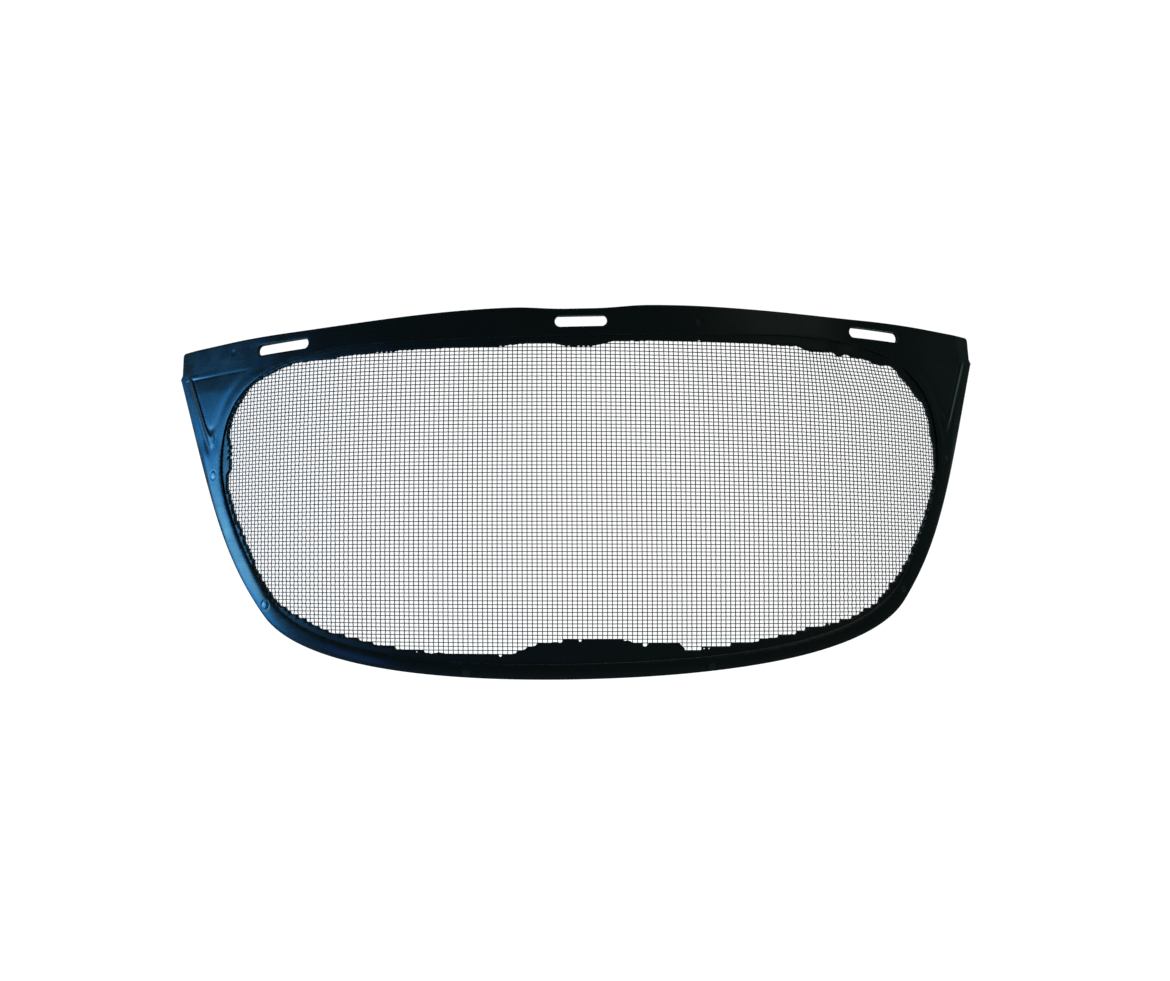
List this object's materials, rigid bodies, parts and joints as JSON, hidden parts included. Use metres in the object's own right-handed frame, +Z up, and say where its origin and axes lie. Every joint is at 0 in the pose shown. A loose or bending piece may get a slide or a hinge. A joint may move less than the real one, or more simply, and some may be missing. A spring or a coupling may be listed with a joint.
{
  "type": "mesh visor screen",
  "caption": "Bent visor screen of woven steel wire cloth held between two black plastic frames, with rounded slots along the top bar for hooking it to a browguard.",
  "frame": {"origin": "middle of the centre mounting slot, on the mid-surface of the wire cloth", "axes": "+Z up with the visor upright as worn, +Y backwards towards the face, +X to the right of a viewer who looks at the convex front; the front faces -Y"},
  "size_m": [0.3648, 0.0638, 0.1508],
  "materials": {
    "frame_plastic": "satin moulded black plastic",
    "rivet_plastic": "satin black plastic",
    "steel_wire": "drawn wire, dull grey"
  },
  "bodies": {
    "root": {"front_frame": "frame_plastic", "rear_frame": "frame_plastic", "wire_mesh": "steel_wire", "rivet_top_outer_left": "rivet_plastic", "rivet_top_inner_left": "rivet_plastic", "rivet_top_inner_right": "rivet_plastic", "rivet_top_outer_right": "rivet_plastic", "rivet_side_left": "rivet_plastic", "rivet_side_right": "rivet_plastic", "rivet_corner_left": "rivet_plastic", "rivet_corner_right": "rivet_plastic", "rivet_bottom_left": "rivet_plastic", "rivet_bottom_right": "rivet_plastic"}
  },
  "joints": []
}
